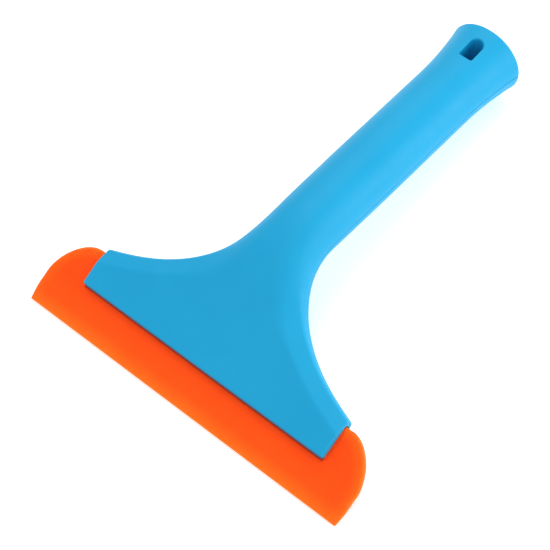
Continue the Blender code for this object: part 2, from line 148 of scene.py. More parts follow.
BLADE_HALF = 0.07555
BLADE_TOP_S = 0.0306
BLADE_HALF_THICK = 0.0018
EDGE_HALF_THICK = 0.00045
EDGE_TAPER_S = 0.0075
BLADE_PINCH = 0.00055
BLADE_PINCH_S = 0.009
SHOULDER_X = 0.0142
SHOULDER_RISE = 0.0179
SHOULDER_POWER = 1.734  # roundness of the blade's shoulders
BLADE_EDGE_ROUND = 0.0013
ROUNDING_SHARE = 0.7  # largest share of the half thickness that the rounding takes
SCRAPING_EDGE_SHARE = 0.8  # share of the half thickness left on the scraping edge itself
RIM_FADE = 0.0045  # how far in from the blade's ends its painted glow fades
PEG_COUNT = 7
PEG_PITCH = 0.016
PEG_S = 0.0245
PEG_RADIUS = 0.0018
GAP = 0.0003
PAST = 0.0004  # how far the trimming reaches past the parting plane
PAST_PARTING = 0.002  # how far a slot or hole reaches past the parting plane

# Screws, driven from the back: name, x, s, seat depth behind the parting plane.
SCREWS = (
    ("screw_head_left", -0.034, 0.036, 0.0034),
    ("screw_head_right", 0.034, 0.036, 0.0034),
    ("screw_neck", 0.0, 0.057, 0.0045),
    ("screw_grip_lower", 0.0, 0.112, 0.0045),
    ("screw_grip_upper", 0.0, 0.158, 0.0045),
)
SHANK_RADIUS = 0.0013
SCREW_HEAD_RADIUS = 0.0026

# ---- fineness of the facets ----

FOOT_STEPS = 6
SLOPE_STEPS = 4
CREASE_STEPS = 5
PROFILE_STEPS = FOOT_STEPS + SLOPE_STEPS + CREASE_STEPS + 1
FRONT_ROW = (0.0012, 0.25)  # first row on the flat front: how far in, and its limit as a share of x
FRONT_ROWS = (0.55, 0.2)  # shares of the half width with a further row
LIP_RINGS = 12
PAST_RINGS = 16
FLANK_RINGS = 70
GRIP_RINGS = 76
DOME_RINGS = 12
PAST_SAMPLES = 60
FLANK_SAMPLES = 120
SAMPLED_FLANK = 0.2  # share of the flank, from the shoulder up, that head_depth() knows
DOME_TURN = math.radians(86.4)
ROUND_SIDES = 48
PEG_SIDES = 24
EDGE_ROWS = [0.0, 0.00012, 0.0004, 0.0008]  # values of s with a row of points at the scraping edge
MIDDLE_ROW_S = 0.0013
MIDDLE_ROWS = 44
TOP_ROWS_S = 0.006
TOP_ROWS = 26
END_COLUMNS = 10
END_SHARE = 0.03  # share of the blade's half length with dense columns
MIDDLE_COLUMNS = 97
BORDER_POINTS = 400
HOLE_STEPS = 32
CORNER_STEPS = 6
END_STEPS = 24
SHOULDER_STEPS = 12
RIM_TURNS = [math.radians(15 * i) for i in range(6)]  # stations round a rounded edge, up to 75 degrees
SMOOTH_ANGLE = math.radians(35)
BLADE_SMOOTH_ANGLE = math.radians(50)

# ---- colours ----

BLUE_DEEP = (0.006, 0.350, 0.640)
BLUE_PALE = (0.009, 0.372, 0.670)
# painted shade: the blue darkens at the foot of the jaws, where they meet the blade
BLUE_PAINTED_SHADE = (0.5, 0.10, 0.13)  # what the blue is multiplied by at the foot of the jaws
# painted light: paler and more golden towards the thin scraping edge, redder in the shade near the jaws
ORANGE_PAINTED_LIGHT = (  # (share of the blade's height, colour), from the scraping edge up
    (0.0, (1.0, 0.196, 0.009)),
    (0.09, (1.0, 0.148, 0.007)),
    (0.20, (1.0, 0.102, 0.005)),
    (0.56, (1.0, 0.083, 0.004)),
)
# painted glow: golden colour round the blade's thin rounded ends and top
GOLDEN_PAINTED_GLOW = (1.0, 0.165, 0.007, 1.0)
# painted shade: a dark band on the blade just below the jaws' lip
ORANGE_PAINTED_SHADE = (0.30, 0.040, 0.010, 1.0)
ORANGE_MOTTLE = (0.97, 0.93, 0.90)
PAINTED_SHADE_FADE = 0.018  # share of the blade's height over which the painted shade below the jaws comes in
ZINC_COOL = (0.52, 0.53, 0.56)
ZINC_WARM = (0.66, 0.66, 0.64)

# ---- the photograph's viewing angle ----

CAMERA_TURN = math.radians(22.48)
CAMERA_TILT = math.radians(0.77)
CAMERA_ROLL = math.radians(34.52)
CAMERA_DISTANCE = 0.67675
CAMERA_AIM_X = 0.0024
CAMERA_AIM_S = 0.06025
SENSOR = 36.0
FOCAL = 121.5
CLIP = (0.05, 20.0)  # nearest and furthest that the camera sees

# ---- studio: (name, place, size, power) of each soft light ----

LIGHTS = (
    ("top", (-0.116, 0.206, 0.55), 0.35, 0.70),
    ("right", (0.75, 0.28, 0.41), 0.6, 1.8),
    ("low_right", (0.6, 0.5, 0.12), 0.3, 1.14),
    ("far_top", (-0.35, 0.55, 0.55), 0.5, 0.68),
)
LIGHTS_AIM = (0.0, 0.0, 0.01)
WORLD_STRENGTH = 0.80
FLOOR_GLOW = 0.4  # light given off by the floor, which keeps it pale up to the edges
FLOOR_HALF = 3.0
FLOOR_GAP = 0.0002


def smoothstep(low, high, value):
    t = min(max((value - low) / (high - low), 0.0), 1.0)
    return t * t * (3 - 2 * t)


# ---- tool coordinates ----


def centreline(s):
    """World (y, z, slope) of the centreline, before the tool is centred over the origin."""
    start_z = EDGE_HALF_THICK * math.cos(HEAD_SLOPE)
    on_head = min(s, ARC_START)
    y = on_head * math.cos(HEAD_SLOPE)
    z = start_z + on_head * math.sin(HEAD_SLOPE)
    turned = min(max(s - ARC_START, 0.0), ARC_LENGTH) / BEND_RADIUS
    slope = HEAD_SLOPE - turned
    y += BEND_RADIUS * (math.sin(HEAD_SLOPE) - math.sin(slope))
    z += BEND_RADIUS * (math.cos(slope) - math.cos(HEAD_SLOPE))
    on_handle = max(s - ARC_START - ARC_LENGTH, 0.0)
    return y + on_handle * math.cos(slope), z + on_handle * math.sin(slope), slope


def mid_y():
    y, _, slope = centreline(END_S)
    tip = math.hypot(DOME * math.cos(slope), END_HALF * GRIP_OVAL * math.sin(slope))
    return (y + tip - EDGE_HALF_THICK * math.sin(HEAD_SLOPE)) / 2


MID_Y = mid_y()


def place(x, s, d):
    y, z, slope = centreline(s)
    return Vector((x, y - d * math.sin(slope) - MID_Y, z + d * math.cos(slope)))


# ---- outline and section of the shells ----


def flank(t):
    """Point and unit tangent of the head's flank, from the shoulder at t = 0 to the neck at t = 1."""
    slope = np.array((-math.cos(SHOULDER_SLOPE), math.sin(SHOULDER_SLOPE)))
    p0 = np.array((HEAD_HALF, SHOULDER_S))
    p1 = p0 + SHOULDER_REACH * slope
    p3 = np.array((NECK_HALF, NECK_S))
    p2 = p3 - (0.0, NECK_PULL)
    r = 1 - t
    point = r**3 * p0 + 3 * r * r * t * p1 + 3 * r * t * t * p2 + t**3 * p3
    along = r * r * (p1 - p0) + 2 * r * t * (p2 - p1) + t * t * (p3 - p2)
    return point, along / np.linalg.norm(along)


def grip_half(s):
    swell = (GRIP_HALF - NECK_HALF) * smoothstep(NECK_S, NECK_S + SWELL, s)
    flare = max(s - FLARE_S, 0.0) / (END_S - FLARE_S)
    return NECK_HALF + swell + (END_HALF - GRIP_HALF) * flare**2


def half_depth(s):
    depth = JAW_DEPTH + (GRIP_DEPTH - JAW_DEPTH) * smoothstep(DEPTH_START, DEPTH_END, s)
    if s > FLARE_S:
        depth += GRIP_OVAL * (grip_half(s) - GRIP_HALF)
    return depth


def outline_point(kind, value):
    """Point and tangent of the outline: past the shoulder, along the flank, or up the grip."""
    if kind == "past":
        point, along = flank(0.0)
        return point - value * along, along
    if kind == "flank":
        return flank(value)
    return np.array((grip_half(value), value)), np.array((0.0, 1.0))


def bevel_profile():
    """Shares of (band width, depth) across the head's bevel: steep foot, straight slope, soft crease."""
    slope = (1 - BEVEL_FOOT) / BEVEL_CREASE
    top = (BEVEL_FOOT_WIDTH, BEVEL_FOOT + slope * BEVEL_FOOT_WIDTH)
    points = []
    for i in range(FOOT_STEPS + 1):
        t = i / FOOT_STEPS
        points.append((t * t * top[0], 2 * t * (1 - t) * BEVEL_FOOT + t * t * top[1]))
    before, after = BEVEL_CREASE - CREASE_SOFT, BEVEL_CREASE + CREASE_SOFT
    for i in range(1, SLOPE_STEPS):
        x = top[0] + (before - top[0]) * i / SLOPE_STEPS
        points.append((x, BEVEL_FOOT + slope * x))
    for i in range(CREASE_STEPS + 1):
        x = before + (after - before) * i / CREASE_STEPS
        points.append((x, 1 - slope * (after - x) ** 2 / (4 * CREASE_SOFT)))
    return points + [(1.0, 1.0)]


def round_profile():
    angles = [math.pi / 2 * i / PROFILE_STEPS for i in range(PROFILE_STEPS + 1)]
    return [(1 - math.cos(a), math.sin(a)) for a in angles]


BEVEL_PROFILE = bevel_profile()
ROUND_PROFILE = round_profile()


def section(kind, value):
    """Quarter section at one outline point, as (x, s, d) from the parting plane to the flat front."""
    foot, along = outline_point(kind, value)
    normal = np.array((along[1], -along[0]))
    turn = smoothstep(*TURN, foot[1])
    inward = (1 - turn) * normal + turn * np.array((1.0, 0.0))
    inward /= np.linalg.norm(inward)
    band = BEVEL_WIDTH + (GRIP_ROUND - BEVEL_WIDTH) * smoothstep(*WIDEN, foot[1])
    if foot[1] > NECK_S:
        band = GRIP_ROUND + (foot[0] - CROWN_HALF - GRIP_ROUND) * smoothstep(NECK_S, FLARE_S, foot[1])
    band = min(band, (foot[0] - CROWN_HALF) / inward[0])
    crease = foot - band * inward
    depth = half_depth(crease[1])
    roundness = smoothstep(*ROUND_OVER, foot[1])
    points = []
    for flat, arc in zip(BEVEL_PROFILE, ROUND_PROFILE):
        across = flat[0] + (arc[0] - flat[0]) * roundness
        height = flat[1] + (arc[1] - flat[1]) * roundness
        spot = foot - band * across * inward
        points.append((spot[0], spot[1], depth * height))
    return points


def closed_ring(points):
    """The quarter section with a broken parting edge and a flat front, mirrored to a whole half ring."""
    x, s, _ = points[0]
    inner, outer = 1 - EDGE_MID, EDGE_MID
    half = [(x - PARTING_EDGE, s, PARTING), (x - inner * PARTING_EDGE, s, PARTING + outer * PARTING_EDGE)]
    half += [(x, s, max(d, PARTING + EDGE_CLEAR * PARTING_EDGE)) for x, s, d in points[1:]]
    x, s, d = points[-1]
    reach, share = FRONT_ROW
    half.append((x - min(reach, share * x), s, d))
    half += [(row * x, s, d) for row in FRONT_ROWS]
    return half + [(-x, s, d) for x, s, d in reversed(half)]


def shell_rings(side):
    """Rings of one solid half body, from below the lip to the rounded end."""
    past = section("past", JAWS_PAST)
    low = past[-1][1]
    rings = []
    for s in np.linspace(LIP_S - JAWS_BELOW, low - JAWS_MEET, LIP_RINGS):
        depth = half_depth(s)
        rings.append([(x, s - low + y, depth * d / past[-1][2]) for x, y, d in past])
    rings += [section("past", value) for value in np.linspace(JAWS_PAST, JAWS_MEET, PAST_RINGS)]
    rings += [section("flank", value) for value in np.linspace(0.0, 1.0, FLANK_RINGS)]
    rings += [section("grip", value) for value in np.linspace(NECK_S, END_S, GRIP_RINGS)[1:]]
    for i in range(1, DOME_RINGS + 1):
        angle = DOME_TURN * i / DOME_RINGS
        shrink, s = math.cos(angle), END_S + DOME * math.sin(angle)
        rings.append([(x * shrink, s, d * shrink) for x, _, d in section("grip", END_S)])
    return [[place(x, s, side * d) for x, s, d in closed_ring(ring)] for ring in rings]


HEAD_SAMPLES = np.array(
    [section("past", value) for value in np.linspace(JAWS_PAST, 0.0, PAST_SAMPLES)]
    + [section("flank", value) for value in np.linspace(0.0, SAMPLED_FLANK, FLANK_SAMPLES)[1:]]
)


def head_depth(x, s):
    """Depth of the head's outer surface over the point (x, s), near the shoulder and below it."""
    feet, creases = HEAD_SAMPLES[:, 0, :2], HEAD_SAMPLES[:, -1, :2]
    run = creases - feet
    length = np.linalg.norm(run, axis=1)
    run = run / length[:, None]
    offset = np.array((abs(x), s)) - feet
    inset = (offset * run).sum(1)
    aside = np.abs(offset[:, 0] * run[:, 1] - offset[:, 1] * run[:, 0])
    row = int(aside.argmin())
    across = max(inset[row], 0.0) / length[row]
    if across >= 1:
        return half_depth(s)
    shares = [point[0] for point in BEVEL_PROFILE]
    heights = [point[1] for point in BEVEL_PROFILE]
    return float(HEAD_SAMPLES[row, -1, 2] * np.interp(across, shares, heights))


def grip_depth(x, s):
    """Depth of the handle's outer surface over the point (x, s)."""
    width = grip_half(s)
    band = GRIP_ROUND + (width - CROWN_HALF - GRIP_ROUND) * smoothstep(NECK_S, FLARE_S, s)
    over = max(abs(x) - (width - band), 0.0) / band
    return half_depth(s) * math.sqrt(max(1 - over * over, 0.0))


# ---- mesh helpers ----


def add_loft(mesh, rings):
    loops = [[mesh.verts.new(point) for point in ring] for ring in rings]
    faces = [mesh.faces.new(loops[0]), mesh.faces.new(list(reversed(loops[-1])))]
    for lower, upper in zip(loops, loops[1:]):
        for i in range(len(lower)):
            j = (i + 1) % len(lower)
            faces.append(mesh.faces.new((lower[i], upper[i], upper[j], lower[j])))
    bmesh.ops.recalc_face_normals(mesh, faces=faces)
    outward = sum(face.calc_area() * face.normal.dot(face.calc_center_median()) for face in faces)
    if outward < 0:
        bmesh.ops.reverse_faces(mesh, faces=faces)


def body_object(name, lofts, smooth_angle=SMOOTH_ANGLE):
    mesh = bmesh.new()
    for rings in lofts:
        add_loft(mesh, rings)
    data = bpy.data.meshes.new(name)
    mesh.to_mesh(data)
    mesh.free()
    made = bpy.data.objects.new(name, data)
    bpy.context.scene.collection.objects.link(made)
    data.shade_smooth()
    data.set_sharp_from_angle(angle=smooth_angle)
    return made


def cut(target, lofts, name, smooth_angle=SMOOTH_ANGLE):
    """Booleans the target with bodies given as rings, and keeps only the result."""
    tool = body_object(name, lofts)
    modifier = target.modifiers.new(name, "BOOLEAN")
    modifier.operation = "DIFFERENCE"
    modifier.object = tool
    modifier.solver = "EXACT"
    evaluated = target.evaluated_get(bpy.context.evaluated_depsgraph_get())
    result = bpy.data.meshes.new_from_object(evaluated)
    target.modifiers.clear()
    old = target.data
    target.data = result
    result.name = old.name + "_cut"
    bpy.data.meshes.remove(old)
    bpy.data.objects.remove(tool, do_unlink=True)
    result.shade_smooth()
    result.set_sharp_from_angle(angle=smooth_angle)


def prism(outline, depths):
    return [[place(x, s, d) for x, s in outline] for d in depths]


def disc(x, s, radius, sides=ROUND_SIDES):
    angles = [2 * math.pi * i / sides for i in range(sides)]
    return [(x + radius * math.cos(a), s + radius * math.sin(a)) for a in angles]


def box(x_span, s_span, d_span):
    (left, right), (low, high) = x_span, s_span
    return prism([(left, low), (right, low), (right, high), (left, high)], d_span)


def hang_hole_outline(offset=0.0):
    half = HOLE_HALF + offset
    corner = HOLE_CORNER + offset
    flat = HOLE_FLAT_S - offset
    centre = HOLE_ROUND_S - HOLE_HALF
    outline = []
    for i in range(HOLE_STEPS + 1):
        angle = math.pi * i / HOLE_STEPS
        outline.append((half * math.cos(angle), centre + half * math.sin(angle)))
    for side, first in ((-1, math.pi), (1, 3 * math.pi / 2)):
        for i in range(CORNER_STEPS + 1):
            angle = first + math.pi / 2 * i / CORNER_STEPS
            x = side * (half - corner) + corner * math.cos(angle)
            outline.append((x, flat + corner + corner * math.sin(angle)))
    return outline


def rimmed_hole(outline_at, side, rim, inner_d, surface):
    """Rings of a cutter for a hole whose rim is rounded where it meets the outer surface."""
    rings = [[place(x, s, inner_d) for x, s in outline_at(0.0)]]
    for angle in RIM_TURNS:
        offset, sink = rim * (1 - math.cos(angle)), rim * (1 - math.sin(angle))
        rings.append([place(x, s, side * (surface(x, s) - sink)) for x, s in outline_at(offset)])
    rings.append([place(x, s, side * (surface(x, s) + RIM_OUT)) for x, s in outline_at(rim * RIM_FLARE)])
    return rings


def trim_outline():
    """Plan of what lies outside the head's lip and ends: (point, outward normal, share of the rounding)."""
    spots = [((x, LIP_FRONT_S), (0.0, -1.0), 1.0) for x in (0.0, HEAD_HALF / 2)]
    corner_x, corner_s = HEAD_HALF - LIP_CORNER, LIP_FRONT_S + LIP_CORNER
    for i in range(CORNER_STEPS + 1):
        angle = math.pi / 2 * (i / CORNER_STEPS - 1)
        normal = (math.cos(angle), math.sin(angle))
        spots.append(((corner_x + LIP_CORNER * normal[0], corner_s + LIP_CORNER * normal[1]), normal, 1.0))
    turn = math.pi / 2 - SHOULDER_SLOPE
    top = SHOULDER_S - SHOULDER_ROUND * math.tan(turn / 2)
    for i in range(1, END_STEPS):
        spots.append(((HEAD_HALF, corner_s + (top - corner_s) * i / END_STEPS), (1.0, 0.0), 1.0))
    for i in range(SHOULDER_STEPS + 1):
        share = i / SHOULDER_STEPS
        normal = (math.cos(turn * share), math.sin(turn * share))
        x = HEAD_HALF - SHOULDER_ROUND + SHOULDER_ROUND * normal[0]
        spots.append(((x, top + SHOULDER_ROUND * normal[1]), normal, (1 - share) ** 2))
    x, s = spots[-1][0]
    for far in ((x, s + TRIM_PAST), (TRIM_X, s + TRIM_PAST), (TRIM_X, LIP_FRONT_S - TRIM_PAST)):
        spots.append((far, (0.0, 0.0), 0.0))
    return spots + [((-x, s), (-nx, ns), share) for (x, s), (nx, ns), share in reversed(spots[1:])]


def trim_rings(side):
    """Cutter for the head's lip and ends, which leaves a rounded front edge that follows the surface."""
    spots = trim_outline()
    lean = LIP_DRAFT * (JAW_DEPTH + PAST) / (JAW_DEPTH - SLOT_HALF)
    rings = [[place(x, s + min(ns, 0.0) * lean * k, -side * PAST) for (x, s), (_, ns), k in spots]]
    for angle in RIM_TURNS:
        ring = []
        for (x, s), (nx, ns), share in spots:
            rounding = LIP_ROUND * share
            inset, sink = rounding * (1 - math.cos(angle)), rounding * (1 - math.sin(angle))
            spot = (x - nx * inset, s - ns * inset)
            ring.append(place(*spot, side * (head_depth(*spot) - sink + TRIM_CLEAR)))
        rings.append(ring)
    inset = LIP_ROUND * (1 - math.cos(RIM_TURNS[-1]))
    out = side * THROUGH
    rings.append([place(x - nx * inset * k, s - ns * inset * k, out) for (x, s), (nx, ns), k in spots])
    return rings


def finish_shading(piece):
    """Lets the large faces rule the shading, so flat plastic stays flat up to its rounded edges."""
    modifier = piece.modifiers.new("weighted_normals", "WEIGHTED_NORMAL")
    modifier.keep_sharp = True


# ---- pieces ----


def moulding(name, side):
    """One half of the body: trimmed, with its half of the blade's slot and of the hang hole."""
    shell = body_object(name + "_shell_moulding", [shell_rings(side)])
    cut(shell, [trim_rings(side)], name + "_trim")
    slot_s = (LIP_S - PAST_PARTING, SLOT_TOP_S)
    slot = box((-BLADE_HALF, BLADE_HALF), slot_s, (-side * PAST_PARTING, side * SLOT_HALF))
    cut(shell, [slot], name + "_slot")
    hole = rimmed_hole(hang_hole_outline, side, HOLE_RIM, -side * PAST_PARTING, grip_depth)
    cut(shell, [hole], name + "_hang_hole")
    return shell


def front_shell():
    shell = moulding("front", 1)
    finish_shading(shell)
    return shell


def rear_shell():
    """The half that the screws are driven into, with a well and a bore for each."""
    shell = moulding("rear", -1)
    for name, x, s, seat in SCREWS:
        surface = grip_depth if s > NECK_S else lambda _x, at: half_depth(at)
        radius = SCREW_HEAD_RADIUS + GAP
        well = rimmed_hole(lambda grow: disc(x, s, radius + grow), -1, WELL_RIM, -seat, surface)
        shank = prism(disc(x, s, SHANK_RADIUS + GAP), (PAST_PARTING, -seat - WELL_BELOW))
        cut(shell, [well], name + "_well")
        cut(shell, [shank], name + "_bore")
    finish_shading(shell)
    return shell


def blade_half_width(s):
    if s < BLADE_PINCH_S:
        return BLADE_HALF - BLADE_PINCH * (1 - s / BLADE_PINCH_S) ** 2
    rise = (s - (BLADE_TOP_S - SHOULDER_RISE)) / SHOULDER_RISE
    if rise <= 0:
        return BLADE_HALF
    reach = max(1 - rise**SHOULDER_POWER, 0.0) ** (1 / SHOULDER_POWER)
    return BLADE_HALF - SHOULDER_X * (1 - reach)


def blade_thickness(s):
    """Half thickness away from the rounded ends."""
    taper = 1 - min(s / EDGE_TAPER_S, 1.0)
    return EDGE_HALF_THICK + (BLADE_HALF_THICK - EDGE_HALF_THICK) * (1 - taper**2)


def blade_rows():
    """Values of s with a row of points: dense at the scraping edge and towards the shoulders' top."""
    start = BLADE_TOP_S - TOP_ROWS_S
    middle = list(np.linspace(MIDDLE_ROW_S, start, MIDDLE_ROWS))
    top = [BLADE_TOP_S - TOP_ROWS_S * (1 - i / TOP_ROWS) ** 2 for i in range(1, TOP_ROWS + 1)]
    return EDGE_ROWS + middle + top


def blade_columns():
    """Shares of the half length with a column of points: dense towards the ends."""
    end = [1 - (i / END_COLUMNS) ** 2 * END_SHARE for i in range(END_COLUMNS, -1, -1)]
    middle = list(np.linspace(END_SHARE - 1, 1 - END_SHARE, MIDDLE_COLUMNS))[1:-1]
    return [-c for c in reversed(end)] + middle + end


def blade_border():
    """(x, s) points along the right half of the blade's ends and top."""
    end = [(blade_half_width(s), s) for s in np.linspace(0, BLADE_TOP_S, BORDER_POINTS)]
    top = [(x, BLADE_TOP_S) for x in np.linspace(end[-1][0], 0, BORDER_POINTS // 2)]
    return np.array(end + top)


BLADE_BORDER = blade_border()


def rim_distance(x, s):
    """Distance from (x, s) to the blade's ends or top, whichever is nearer."""
    return float(np.sqrt(((BLADE_BORDER - (abs(x), s)) ** 2).sum(1).min()))


def rounded_thickness(away, s):
    """Half thickness at s, rounded over where it is less than the rounding away from an end or the top."""
    over = 1 - min(away / BLADE_EDGE_ROUND, 1.0)
    full = blade_thickness(s)
    if s == 0:
        full *= SCRAPING_EDGE_SHARE
    rounding = min(BLADE_EDGE_ROUND, full * ROUNDING_SHARE)
    return full - rounding + rounding * math.sqrt(1 - over * over)


def grid_rim(grid):
    """The points round a grid, in order."""
    right = [row[-1] for row in grid]
    left = [row[0] for row in reversed(grid)]
    return grid[0][:-1] + right[:-1] + list(reversed(grid[-1]))[:-1] + left[:-1]


def blade_piece():
    """One silicone strip: bevelled to the scraping edge, its shoulders and ends rounded over."""
    mesh = bmesh.new()
    flat_place, rim_place = {}, {}
    sheets = []
    for side in (1, -1):
        grid = []
        for s in blade_rows():
            half = blade_half_width(s)
            row = []
            for c in blade_columns():
                away = rim_distance(half * c, s)
                vert = mesh.verts.new(place(half * c, s, side * rounded_thickness(away, s)))
                flat_place[vert] = (0.5 + half * c / (2 * BLADE_HALF), s / BLADE_TOP_S)
                rim_place[vert] = (min(away / RIM_FADE, 1.0), 0.0)
                row.append(vert)
            grid.append(row)
        sheets.append(grid)
        for lower, upper in zip(grid, grid[1:]):
            for i in range(len(lower) - 1):
                corners = (lower[i], lower[i + 1], upper[i + 1], upper[i])
                mesh.faces.new(corners if side > 0 else tuple(reversed(corners)))
    front_rim, back_rim = (grid_rim(grid) for grid in sheets)
    for i in range(len(front_rim)):
        j = (i + 1) % len(front_rim)
        mesh.faces.new((front_rim[j], front_rim[i], back_rim[i], back_rim[j]))
    bmesh.ops.recalc_face_normals(mesh, faces=mesh.faces)
    plan, rim_layer = mesh.loops.layers.uv.new("plan"), mesh.loops.layers.uv.new("rim")
    for face in mesh.faces:
        for loop in face.loops:
            loop[plan].uv = flat_place[loop.vert]
            loop[rim_layer].uv = rim_place[loop.vert]
    data = bpy.data.meshes.new("silicone_blade")
    mesh.to_mesh(data)
    mesh.free()
    made = bpy.data.objects.new("silicone_blade", data)
    bpy.context.scene.collection.objects.link(made)
    holes = []
    for i in range(PEG_COUNT):
        x = (i - (PEG_COUNT - 1) / 2) * PEG_PITCH
        holes.append(prism(disc(x, PEG_S, PEG_RADIUS + GAP, PEG_SIDES), (-THROUGH, THROUGH)))
    cut(made, holes, "peg_holes", BLADE_SMOOTH_ANGLE)
    return made


# ---- materials ----


def new_material(name):
    made = bpy.data.materials.new(name)
    made.use_nodes = True
    nodes = made.node_tree.nodes
    return made, nodes, made.node_tree.links, nodes["Principled BSDF"]


def noise(nodes, links, place_at, scale, detail, roughness):
    """Noise over the coordinates of an output socket; gives its height socket."""
    made = nodes.new("ShaderNodeTexNoise")
    made.inputs["Scale"].default_value = scale
    made.inputs["Detail"].default_value = detail
    made.inputs["Roughness"].default_value = roughness
    links.new(place_at, made.inputs["Vector"])
    return made.outputs["Fac"]


def ramp(nodes, links, source, stops):
    """Colour ramp over a socket, with (place, colour) stops; gives its colour socket."""
    made = nodes.new("ShaderNodeValToRGB")
    elements = made.color_ramp.elements
    while len(elements) < len(stops):
        elements.new(0.5)
    for element, (position, colour) in zip(elements, stops):
        element.position = position
        element.color = (*colour, 1.0)
    links.new(source, made.inputs["Fac"])
    return made.outputs["Color"]


def feed(links, value, socket):
    """Links an output socket to an input, or sets a plain value on it."""
    if isinstance(value, bpy.types.NodeSocket):
        links.new(value, socket)
    else:
        socket.default_value = value


def mix(nodes, links, factor, first, second, blend="MIX"):
    """Blends two colours, each a socket or a plain value; gives its colour socket."""
    made = nodes.new("ShaderNodeMix")
    made.data_type = "RGBA"
    made.blend_type = blend
    for name, value in (("Factor", factor), ("A", first), ("B", second)):
        feed(links, value, made.inputs[name])
    return made.outputs["Result"]


def math_node(nodes, links, operation, *values):
    """Math node over sockets or numbers; gives its value socket."""
    made = nodes.new("ShaderNodeMath")
    made.operation = operation
    for i, value in enumerate(values):
        feed(links, value, made.inputs[i])
    return made.outputs["Value"]


def bump(nodes, links, shader, layers):
    """Chains bump nodes: each layer is (height output, strength, distance in metres)."""
    previous = None
    for height, strength, distance in layers:
        node = nodes.new("ShaderNodeBump")
        node.inputs["Strength"].default_value = strength
        node.inputs["Distance"].default_value = distance
        links.new(height, node.inputs["Height"])
        if previous:
            links.new(previous.outputs["Normal"], node.inputs["Normal"])
        previous = node
    links.new(previous.outputs["Normal"], shader.inputs["Normal"])


def grey(value):
    return (value, value, value)


def blue_plastic():
    """Semi-matte moulded plastic: fine grain, faint flow clouds, painted shade where the jaws meet the
    blade.
    """
    made, nodes, links, shader = new_material("moulded_blue_plastic")
    coords = nodes.new("ShaderNodeTexCoord").outputs["Object"]
    clouds = noise(nodes, links, coords, 38.0, 3.0, 0.55)
    tint = ramp(nodes, links, clouds, [(0.3, BLUE_DEEP), (0.7, BLUE_PALE)])
    # painted shade: a dark band over the jaws' lower edge and end face, fading out just above the lip
    up_head = nodes.new("ShaderNodeVectorMath")
    up_head.operation = "DOT_PRODUCT"
    up_head.inputs[1].default_value = (0.0, math.cos(HEAD_SLOPE), math.sin(HEAD_SLOPE))
    links.new(coords, up_head.inputs[0])
    lip = place(0, LIP_S, 0).dot(up_head.inputs[1].default_value)
    past_lip = nodes.new("ShaderNodeMapRange")
    past_lip.inputs["From Min"].default_value = lip - PAINTED_SHADE_BELOW
    past_lip.inputs["From Max"].default_value = lip + PAINTED_SHADE_ABOVE
    links.new(up_head.outputs["Value"], past_lip.inputs["Value"])
    painted_shade = ramp(nodes, links, past_lip.outputs["Result"], [(0.0, BLUE_PAINTED_SHADE), (1.0, grey(1.0))])
    links.new(mix(nodes, links, 1.0, tint, painted_shade, "MULTIPLY"), shader.inputs["Base Color"])
    patches = noise(nodes, links, coords, 160.0, 4.0, 0.6)
    gloss = ramp(nodes, links, patches, [(0.3, grey(0.44)), (0.7, grey(0.53))])
    links.new(gloss, shader.inputs["Roughness"])
    grain = noise(nodes, links, coords, 2600.0, 2.0, 0.6)
    waves = noise(nodes, links, coords, 90.0, 2.0, 0.5)
    bump(nodes, links, shader, [(grain, 0.12, 0.00004), (waves, 0.05, 0.0002)])
    shader.inputs["Specular IOR Level"].default_value = 0.20
    return made


def painted_shade_share(nodes, links, across, up):
    """How far a point of the blade takes the painted shade of the jaws, from its place in the plan."""
    under_jaws = math_node(nodes, links, "COMPARE", across, 0.5, HEAD_HALF / (2 * BLADE_HALF))
    foot = (LIP_FRONT_S - LIP_DRAFT) / BLADE_TOP_S
    shade = ramp(nodes, links, up, [(foot - PAINTED_SHADE_FADE, grey(0.0)), (foot, grey(1.0))])
    return math_node(nodes, links, "MULTIPLY", under_jaws, shade)


